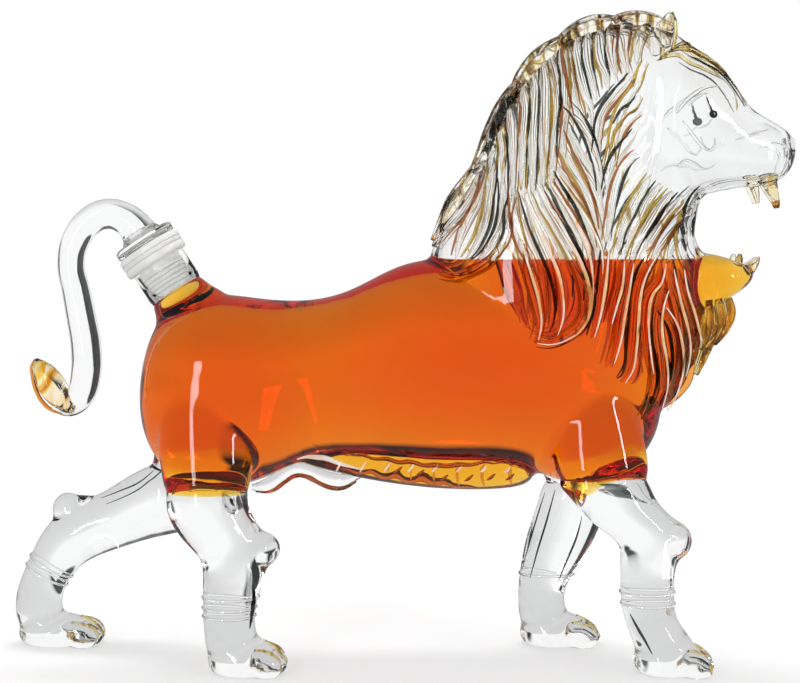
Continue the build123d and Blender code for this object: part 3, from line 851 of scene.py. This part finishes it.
fall_rows = [
    (4.2, [(484, 160), (476, 190), (464, 212), (448, 230), (434, 246)]),
    (4.2, [(486, 170), (478, 204), (468, 224), (461, 240), (456, 256)]),
    (4.4, [(493, 154), (493, 178), (490, 198), (487, 218), (480, 238), (466, 260)]),
    (4.2, [(503, 178), (504, 202), (502, 220), (496, 238), (484, 256), (474, 264)]),
    (4.0, [(440, 274), (456, 277), (472, 271), (488, 262), (497, 251), (501, 240)]),
    (4.0, [(513, 196), (509, 214), (508, 234), (500, 250), (488, 262)]),
    (4.6, [(514, 188), (515, 208), (517, 226), (522, 243), (531, 259), (537, 276)]),
    (5.0, [(520, 240), (526, 262), (533, 284), (538, 304), (540, 324), (536, 340)]),
    (5.4, [
        (525, 190), (531, 212), (540, 236), (549, 256), (557, 276), (561, 298), (561, 318),
        (556, 334),
    ]),
    (6.0, [
        (537, 186), (546, 206), (558, 226), (569, 246), (578, 264), (585, 284),
        (587, 308), (580, 326), (566, 337), (550, 343), (537, 342),
    ]),
    (4.6, [(557, 196), (569, 216), (580, 237), (587, 257), (590, 277), (590, 300)]),
    (4.4, [(557, 178), (568, 194), (580, 213), (591, 233), (599, 252), (600, 274)]),
    (4.2, [(548, 262), (552, 284), (553, 306), (549, 328)]),
]
cheek_rows = [
    (4.0, [(640, 96), (634, 106), (624, 114), (618, 126)]),
    (4.2, [(640, 112), (630, 120), (621, 132), (616, 148), (612, 166)]),
    (4.2, [(636, 132), (626, 144), (617, 156), (610, 172), (606, 192)]),
    (4.4, [(637, 154), (628, 162), (619, 178), (614, 196), (610, 218), (607, 240)]),
    (4.2, [(651, 176), (640, 192), (630, 210), (623, 226), (618, 248)]),
    (4.4, [(660, 184), (648, 200), (640, 216), (632, 232), (626, 256)]),
    (4.6, [(672, 192), (661, 204), (650, 222), (638, 242), (630, 262)]),
    (4.6, [(682, 196), (671, 208), (660, 224), (650, 240), (641, 256)]),
    (4.4, [(688, 206), (674, 222), (664, 238), (656, 252), (650, 266)]),
    (4.2, [(692, 214), (680, 230), (672, 244), (668, 262)]),
    (4.6, [(704, 190), (694, 200), (688, 216), (687, 232), (690, 248), (697, 260)]),
    (4.2, [(694, 200), (683, 220), (680, 236), (682, 254), (688, 268)]),
]
chest_rows = [
    (4.6, [(606, 250), (604, 272), (601, 296), (597, 318), (592, 336)]),
    (4.6, [(621, 262), (619, 285), (614, 304), (609, 323)]),
    (4.6, [(630, 264), (626, 288), (621, 316), (617, 342), (611, 362)]),
    (5.0, [(650, 260), (641, 278), (636, 297), (634, 323), (632, 349), (629, 368), (622, 380)]),
    (5.0, [(661, 264), (657, 282), (648, 294), (644, 316), (645, 342), (649, 372)]),
    (4.8, [(664, 290), (658, 310), (657, 334), (661, 358), (662, 384), (656, 406)]),
    (4.6, [(669, 270), (672, 288), (677, 310), (682, 330), (684, 352), (680, 374)]),
    (4.4, [(679, 270), (682, 292), (688, 312), (692, 330), (694, 350), (690, 372)]),
    (4.4, [(662, 308), (671, 323), (676, 342), (677, 366), (672, 388), (664, 408)]),
    (4.2, [(654, 352), (654, 376), (650, 400), (642, 418)]),
    (4.2, [(690, 352), (688, 372), (680, 394), (668, 412)]),
]
root_share = 0.15
tip_share = 0.2
point_share = 0.15
root_reach = 1.6
tip_reach = 2.0
lock_girth_share = 1.45


def on_side(across, down, side):
    """A place of the side view on the near skin, or its match on the far skin."""
    place, normal = seen(across, down)
    if side > 0:
        return nearest(Vector((place.x, 2 * middle_y - place.y, place.z)))
    return place, normal


def drawn_out(end, before, reach):
    """The fine point in which a rod runs out past its last place."""
    place, radius = end
    ahead = (place - before[0]).normalized()
    return place + ahead * radius * reach, radius * point_share


def laid(rows, side, girth_share=1.0, lift=0.0):
    """Locks on the skin of one side, drawn out thin and sinking in at both ends."""
    lines = []
    for girth, places in rows:
        line = []
        for number, (across, down) in enumerate(places):
            share = number / (len(places) - 1)
            thin = root_share + (1 - root_share) * min(1, share * 3.5)
            thin *= 1 - (1 - tip_share) * max(0, share * 2.2 - 1.2)
            radius = girth * girth_share * square * thin
            sunk = 0.35 - 0.8 * max(0, 1 - share * 5, share * 5 - 4)
            place, normal = on_side(across, down, side)
            line.append((place + normal * (radius * sunk + lift * square), radius))
        root = drawn_out(line[0], line[1], root_reach)
        tip = drawn_out(line[-1], line[-2], tip_reach)
        lines.append([root, *line, tip])
    return lines


def on_both_sides(rows, lift=0.0):
    """The same locks on the near side and on the far side."""
    return [line for side in view_sides.values() for line in laid(rows, side, 1.0, lift)]


def pair(stem, rows, material, node_stem="", girth_share=1.0, lift=0.0, sides=5):
    """A near and a far piece of locks or threads for the mane."""
    for word, side in view_sides.items():
        nodes = [f"{node_stem}_{word}"] if node_stem else []
        lines = laid(rows, side, girth_share, lift)
        drawn(f"{stem}_{word}", lines, material, "mane_glass", *nodes, sides=sides)


mane_shades = [
    (0.1, 0.07, 0.05), (0.5, 0.3, 0.1), (0.92, 0.8, 0.42), (1.0, 1.0, 1.0), (1.0, 1.0, 1.0),
    (0.9, 0.74, 0.4), (0.42, 0.3, 0.2),
]
mane_shares = [0.26, 0.3, 0.33, 0.35, 0.67, 0.71, 0.76]
# The ropes are half melted into the skin, so they bend light less than free rods would.
rope_bend = 1.12
rope_tint = (0.995, 0.995, 0.995)
# Painted light: the amber tint of the glass below the liquor's level
painted_liquor_tint = (0.93, 0.6, 0.28)
mane_glass = streaked("mane_glass", rope_tint, mane_shades, mane_shares, rope_bend, painted_liquor_tint)
gold_shades = [
    (0.3, 0.18, 0.05), (0.85, 0.62, 0.2), (0.99, 0.88, 0.5), (0.9, 0.7, 0.27), (0.35, 0.2, 0.06)
]
gold_shares = [0.3, 0.4, 0.5, 0.6, 0.72]
gold_glass = streaked("gold_glass", (0.97, 0.96, 0.93), gold_shades, gold_shares)


def beside(rows, shift_share, girth):
    """Thin threads that follow one edge of each lock."""
    moved = []
    for rope, places in rows:
        shifted = []
        for number, (across, down) in enumerate(places):
            one = places[max(number - 1, 0)]
            other = places[min(number + 1, len(places) - 1)]
            run, drop = other[0] - one[0], other[1] - one[1]
            reach = rope * lock_girth_share * shift_share / math.hypot(run, drop)
            shifted.append((across - drop * reach, down + run * reach))
        moved.append((girth, shifted))
    return moved


mane_groups = {"sweep": sweep_rows, "fall": fall_rows, "cheek": cheek_rows, "chest": chest_rows}
for group, rows in mane_groups.items():
    pair(f"{group}_locks", rows, mane_glass, f"mane_{group}", lock_girth_share)

# Threads of smoky, gold and rust glass in the valleys between the ropes: painted shade and painted
# coloured light, where the ropes' edges would bend dark and amber into view. On the ropes that
# hang over the liquor, a few gold locks, and white threads that are painted highlights.
painted_light_tints = {"smoke": (0.05, 0.055, 0.05), "gold": (0.6, 0.42, 0.1), "rust": (0.5, 0.19, 0.07)}
every_row = sweep_rows + fall_rows + cheek_rows + chest_rows
# For each edge: how far beside the rope its thread runs, the thread's radius, and the glass of
# the threads, rope after rope
one_edge = (0.85, 2.1, ["smoke", "gold", "smoke", "rust", "gold"])
other_edge = (-0.6, 1.4, ["gold", "rust", "none", "smoke", "none", "gold", "rust"])
painted_light_glass = {
    tone: glass(f"{tone}_painted_light_glass", tint, thread_ripple, rope_bend)
    for tone, tint in painted_light_tints.items()
}
for tone, material in painted_light_glass.items():
    courses = []
    for shift_share, girth, order in (one_edge, other_edge):
        toned = [row for number, row in enumerate(every_row) if order[number % len(order)] == tone]
        courses += beside(toned, shift_share, girth)
    pair(f"{tone}_threads", courses, material, sides=3)
gold_lock_rows = [
    (3.6, [
        (572, 252), (582, 272), (588, 292), (588, 308), (580, 326), (566, 337), (550, 343),
        (537, 342),
    ]),
    (3.0, [(440, 272), (452, 277), (466, 273), (480, 267), (491, 258), (501, 240)]),
    (2.6, [(528, 252), (535, 278), (540, 304), (541, 326), (536, 340)]),
]
pair("gold_locks", gold_lock_rows, gold_glass, lift=3.5)
# Milky white glass with a wet gloss, a little uneven, and a painted glow: it gives off light of
# its own
milky_painted_glow = {
    "Transmission Weight": 0.55, "Roughness": 0.15,
    "Emission Color": (1.0, 0.93, 0.86, 1.0), "Emission Strength": 0.2,
}
milky_shades = [(0.85, 0.62, 0.45), (0.98, 0.96, 0.93)]
painted_glow_glass = uneven("painted_glow_glass", milky_painted_glow, 180.0, milky_shades, (0.4, 0.6))
# Painted highlights: white threads along the ropes that hang over the liquor.
hanging_rows = chest_rows[:9] + fall_rows[7:12]
pair("painted_highlight_threads", beside(hanging_rows, -0.25, 1.5), painted_glow_glass, lift=5.5, sides=3)

# The crest, locks of clear glass laid over the crown and down the back of the neck, and the
# beard, rows of short gold locks that hang under the jaw.  Both are melted on.
crest_asides = {0: 1.0, -17: 0.8, 17: 0.8}
crown_slope = 0.35
crest_lift = 0.65


def crest_lines():
    """The locks of the crest, in the middle and, somewhat thinner, to each side."""
    lines = []
    for girth, places in crest_rows:
        for aside, size_share in crest_asides.items():
            line = []
            for number, (across, down) in enumerate(places):
                share = number / (len(places) - 1)
                radius = girth * square * size_share * math.sin(math.pi * (0.2 + 0.62 * share))
                over = spot(across, foot_line - down - abs(aside) * crown_slope, aside)
                place, normal = nearest(over)
                line.append((place + normal * radius * crest_lift, radius))
            lines.append(line)
    return lines


crest_shares = [0.31, 0.35, 0.39, 0.42, 0.58, 0.62, 0.67]
crest_tint = (0.985, 0.985, 0.98)
crest_glass = streaked("crest_glass", crest_tint, mane_shades, crest_shares, 1.3, painted_liquor_tint)
drawn("crest_locks", crest_lines(), crest_glass, "mane_glass", "mane_crest")
beard_rows = [
    (5.6, [(724, 366), (727, 352), (722, 336), (712, 320)]),
    (5.4, [(714, 366), (718, 346), (714, 328), (704, 316)]),
    (5.2, [(704, 366), (706, 346), (704, 328), (700, 314)]),
    (5.0, [(712, 340), (706, 322), (700, 306), (694, 290)]),
]
beard_lines = []
for girth, places in beard_rows:
    for aside in (-22, -8, 8, 22):
        line = []
        for number, (along, up) in enumerate(places):
            share = number / (len(places) - 1)
            radius = girth * square * math.sin(math.pi * (0.25 + 0.65 * share))
            line.append((spot(along, up, aside * (1 - 0.3 * share)), radius))
        beard_lines.append(line)
drawn("beard_locks", beard_lines, gold_glass, "mane_glass", "beard")

# The forelock: locks of gold glass melted on the forehead, from the crown down over the brow
# on each side, with fine smoky threads along their edges, painted shade that outlines them.
forelock_rows = [
    (2.8, [(672, 50), (684, 44), (700, 46), (718, 52)]),
    (3.6, [(669, 52), (686, 50), (701, 58), (716, 67), (731, 82), (746, 105)]),
    (3.4, [(677, 24), (700, 37), (720, 56), (737, 78), (747, 102)]),
]
forelock_edge_rows = [
    (1.1, [(680, 24), (702, 36), (722, 54), (738, 76), (748, 102)]),
    (1.2, [(688, 56), (703, 64), (717, 72), (731, 87), (744, 107)]),
    (1.0, [(692, 41), (706, 43), (720, 50)]),
]
drawn("forelock_band", on_both_sides(forelock_rows), gold_glass, "mane_glass", "forelock")
edge_lines = on_both_sides(forelock_edge_rows, lift=1.0)
drawn("forelock_edges", edge_lines, painted_light_glass["smoke"], "mane_glass", sides=3)

# On the legs: thin hoops of clear glass where the shanks were joined, gold threads melted in
# between the toes, and streaks of smoky glass along the glass, painted shade for the dark lines it
# bends into view.
hoop_steps = 20
hoop_radius = 1.3 * square
hoop_lift = 0.0002
outside_reach = 0.03
# Middle of each hoop, and how far the shank leans there
hoop_places = [
    ((238, 80, -66), 0), ((238, 70, -66), 0), ((237, 62, -66), 0),
    ((638, 85, -66), 0), ((639, 74, -66), 0),
    ((35, 90, 66), 29), ((32, 80, 66), 29), ((551, 80, 66), 0),
]
hoop_lines = []
for place, turn in hoop_places:
    centre = spot(*place)
    tip = Matrix.Rotation(math.radians(turn), 4, "Y")
    loop = []
    for number in range(hoop_steps + 1):
        angle = math.tau * number / hoop_steps
        out = (tip @ Vector((math.cos(angle), math.sin(angle), 0))).normalized()
        hit, normal = skin_tree.ray_cast(centre + out * outside_reach, -out)[:2]
        if hit is not None:
            loop.append((hit + normal * hoop_lift, hoop_radius))
    hoop_lines.append(loop)
drawn("leg_hoops", hoop_lines, clear_glass, "clear_glass", sides=3, steps=3)
# Along one thread: how far behind the toe's tip, up, radius
toe_rows = [(26, 26, 1.0), (17, 22, 2.0), (8, 17, 2.4), (1, 11, 2.0)]
toe_lines = []
for along, aside, half_length, instep in paw_rows.values():
    for gap in (-18, 0, 18):
        tip = along + half_length - abs(gap) * 0.2
        line = []
        for back, up, radius in toe_rows:
            hit, normal = nearest(spot(tip - back, up, aside + gap))
            line.append((hit + normal * radius * square * 0.2, radius * square))
        toe_lines.append(line)
drawn("toe_threads", toe_lines, gold_glass, "mane_glass", sides=3)
# Painted shade: dark streaks drawn on the clear legs
leg_shade_streak_rows = [
    (1.0, [(545, 492), (538, 515), (529, 545), (522, 570)]),
    (1.2, [(555, 490), (547, 520), (537, 553), (530, 578)]),
    (1.3, [(582, 516), (576, 538), (566, 562), (558, 582)]),
    (2.6, [(254, 586), (253, 600), (251, 615), (250, 628)]),
    (1.6, [(630, 614), (638, 628), (646, 642), (652, 654)]),
    (0.9, [(163, 462), (154, 478), (136, 491), (106, 504)]),
    (0.9, [(154, 470), (140, 482), (120, 491), (101, 498)]),
]
leg_shade_streaks = laid(leg_shade_streak_rows, view_sides["near"])
drawn("leg_shade_streaks", leg_shade_streaks, painted_light_glass["smoke"], "clear_glass", sides=3)

# The face: ears with gold rims, lids, brows and lines of clear glass laid on the blown head,
# and on each side a pupil and lashes of black enamel, fired on.
ear_aside = 32
ear_rim_aside = 35
ear_forms = [
    ((659.5, 628), (10.5, 6, 13), 8), ((663, 636), (7, 4.5, 12), 14), ((660, 617), (6.5, 6, 7), 0)
]
ear_rim_rows = [(666, 608, 1.6), (669.5, 621, 2.2), (670.5, 634, 2.0), (667, 647, 1.4)]
face_rows = [
    (2.4, [(677, 113), (686, 101), (695, 93.5), (705, 88), (719, 86)]),
    (2.2, [(683, 121), (692, 134), (703, 147), (710, 151)]),
    (1.5, [(689, 105), (697, 98), (706, 92)]),
    (1.5, [(707, 96), (709, 106), (712, 112)]),
    (1.4, [(712, 119), (707, 125), (699, 128)]),
    (1.6, [(701, 137), (709, 150), (714, 146), (715, 138)]),
    (1.5, [(749, 135), (757, 132), (769, 129)]),
    (1.5, [(771, 143), (779, 143), (786, 147), (788, 154), (785, 165), (780, 177)]),
    (1.5, [(677, 166), (685, 160.5), (694, 163), (705, 169), (716, 164)]),
    (1.7, [(756, 180), (730, 180), (713, 184), (699, 194), (690, 208)]),
]
for word, side in view_sides.items():
    ear_build = bmesh.new()
    for (along, up), halves, turn in ear_forms:
        ball(ear_build, (along, up, side * ear_aside), halves, turn)
    ear_mesh = fused("ear", ear_build, voxel=0.0007, smoothing=5, subdivide=0)
    piece(f"ear_{word}_piece", ear_mesh, crest_glass, "mane_glass", f"ear_{word}")
    rim = rod(ear_rim_rows, side * ear_rim_aside)
    drawn(f"ear_rim_{word}", [rim], gold_glass, "mane_glass", sides=4)
    lids = laid(face_rows, side)
    drawn(f"eyelid_{word}_piece", lids, clear_glass, "clear_glass", f"eyelid_{word}")
# Black enamel with a slight bloom
glossy = {"Coat Weight": 0.6, "Roughness": 0.25}
enamel_shades = [(0.004, 0.004, 0.004), (0.018, 0.017, 0.016)]
pupil_enamel = uneven("pupil_enamel", glossy, 900.0, enamel_shades)
pupil_place = (712.5, 114.4)
pupil_halves = (4.4, 4.0, 1.6)
pupil_lift = 2.2 * square
lash_lift = 0.8 * square
lash_rows = [
    (706, 97, 0.3), (707.2, 100, 0.9), (708.6, 103.5, 0.6), (710.2, 107, 0.9), (711.6, 111.5, 1.2)
]
for word, side in view_sides.items():
    place, normal = on_side(*pupil_place, side)
    lifted = Matrix.Translation(place + normal * pupil_lift)
    turn = normal.to_track_quat("Z", "Y").to_matrix().to_4x4()
    shape = Matrix.Diagonal(Vector(pupil_halves) * square).to_4x4()
    build = bmesh.new()
    bmesh.ops.create_uvsphere(
        build, u_segments=24, v_segments=12, radius=1.0, matrix=lifted @ turn @ shape
    )
    pupil = mesh_of("pupil", build)
    piece(f"pupil_{word}_piece", pupil, pupil_enamel, "pupil_enamel", f"pupil_{word}")
    lash = []
    for across, down, radius in lash_rows:
        place, normal = on_side(across, down, side)
        lash.append((place + normal * lash_lift, radius * square))
    drawn(f"lash_{word}", [lash], pupil_enamel, "pupil_enamel", sides=3)

# The nose pad, a small knob of clear glass melted on at the tip of the muzzle, and the fangs,
# four drawn points of pale amber glass above and four below, the front pair above with deeper
# amber tips.
nose_build = bmesh.new()
for aside in (-5, 5):
    ball(nose_build, (787.5, 521, aside), (7, 7, 7), 25)
ball(nose_build, (790, 514, 0), (5, 6, 9), 10)
nose_mesh = fused("nose", nose_build, voxel=0.0006, smoothing=8, subdivide=0)
piece("nose", nose_mesh, clear_glass, "clear_glass", "nose_pad")
fang_shades = [
    (0.8, 0.5, 0.16), (0.97, 0.82, 0.45), (1.0, 1.0, 1.0), (0.98, 0.9, 0.62), (0.75, 0.4, 0.12)
]
fang_shares = [0.3, 0.35, 0.39, 0.64, 0.71]
fang_glass = streaked("fang_glass", (0.97, 0.95, 0.9), fang_shades, fang_shares)
# How far each pair of fangs stands from the middle, and the places along one of them
fang_rows = {
    "upper": {
        6: [
            (766, 488, 10), (769, 479, 7.5), (773, 468, 4.6), (776, 460, 2.8),
            (776.5, 456.5, 1.2),
        ],
        9: [(750, 488, 7), (752.5, 477, 5), (754.5, 468, 3.4), (756, 460.5, 1.6)],
    },
    "lower": {
        9: [(742, 391, 7), (750, 397, 5.5), (755, 403, 3.2), (757.5, 407, 0.8)],
        17: [(734, 398, 5), (736, 405, 4), (737, 410, 1.5)],
    },
}
for jaw, pairs in fang_rows.items():
    fangs = [
        rod(rows, side * aside)
        for aside, rows in pairs.items() for side in view_sides.values()
    ]
    drawn(f"{jaw}_fang_set", fangs, fang_glass, "fang_glass", f"{jaw}_fangs", sides=6)
tip_rows = [(775, 463.5, 1.4), (776, 459.5, 3.1), (776.8, 455.6, 1.2)]
amber_tip_glass = glass("amber_tip_glass", (0.7, 0.34, 0.08), thread_ripple)
fang_tips = [rod(tip_rows, -6), rod(tip_rows, 6)]
drawn("fang_tips", fang_tips, amber_tip_glass, "amber_glass")

# Under the belly: a scalloped thread of rust glass melted on along each side of the keel, with
# small flutes below it in glowing white glass, painted highlights, and a fold of clear glass with
# rust edges in front of the hind legs, where a strip of the same glowing glass lies in the keel, a
# painted glow.
scallop_rows = [
    (313, 445), (325, 447), (338, 450.6), (350, 452), (362, 455.7), (374, 457), (387, 460),
    (399, 461), (411, 463), (424, 464), (436, 466.5), (448, 465), (460, 466), (472, 463.5),
    (485, 463), (494, 461.5), (505, 462), (513, 463), (520, 465), (528, 473), (533, 483),
]
scallop_drops = (-1.2, 1.8)
scallop_swells = (0.6, 1.8)
flute_count = 8
flute_pitch = 24
fleck_places = [(398, 470), (420, 473), (444, 478), (469, 478), (491, 477), (510, 477)]
scallop_glass = glass("scallop_glass", (0.62, 0.24, 0.08), thread_ripple)
hung_places = [
    (across, down + scallop_drops[number % 2])
    for number, (across, down) in enumerate(scallop_rows)
]
fleck_rows = [(2.2, [(x + 4, y - 3), (x, y), (x - 4, y + 3)]) for x, y in fleck_places]
flute_rows = []
for number in range(flute_count):
    across = 338 + number * flute_pitch
    top, middle = 461 + number * 0.9, 466 + number * 0.7
    flute_rows.append((1.5, [(across + 4, top), (across + 1, middle), (across - 2, 472)]))
scallops = []
for side in view_sides.values():
    thread = laid([(1.5, hung_places)], side)[0]
    scallops.append([
        (place, radius * scallop_swells[number % 2])
        for number, (place, radius) in enumerate(thread)
    ])
    scallops += laid(fleck_rows, side)
flutes = on_both_sides(flute_rows)
# Painted highlights: the flutes are drawn in glowing white glass.
drawn("belly_frill", flutes, painted_glow_glass, "clear_glass", "belly_fringe", sides=3)
drawn("belly_scallops", scallops, scallop_glass, "amber_glass")
fold_rows = [
    (252, 177, 2), (262, 177, 7), (272, 180, 8.5), (283, 188, 8), (294, 194, 7.5), (306, 193, 7.5),
    (318, 188, 8), (330, 184, 8.5), (342, 183, 7.5), (352, 186, 5), (362, 189, 1.5),
]
drawn("belly_fold_piece", [rod(fold_rows)], clear_glass, "clear_glass", "belly_fold", sides=8)
fold_edge_rows = [
    (256, 173, 0.8), (270, 173.5, 1.8), (284, 182, 2.4), (296, 189, 2.6), (308, 188, 2.2),
    (320, 181.5, 2.6), (332, 177, 2.8), (344, 177, 2.4), (356, 183, 1.0),
]
fold_edges = [rod(fold_edge_rows, -4), rod(fold_edge_rows, 4)]
drawn("fold_edges", fold_edges, scallop_glass, "amber_glass", sides=3)
window_rows = [
    (2.6, [(297, 459), (306, 456), (316, 456), (326, 457.5), (338, 462), (350, 466), (362, 469)])
]
# A strip of glowing white glass in the keel, a painted glow.
windows = on_both_sides(window_rows, lift=0.5)
drawn("keel_windows", windows, painted_glow_glass, "clear_glass", sides=4)
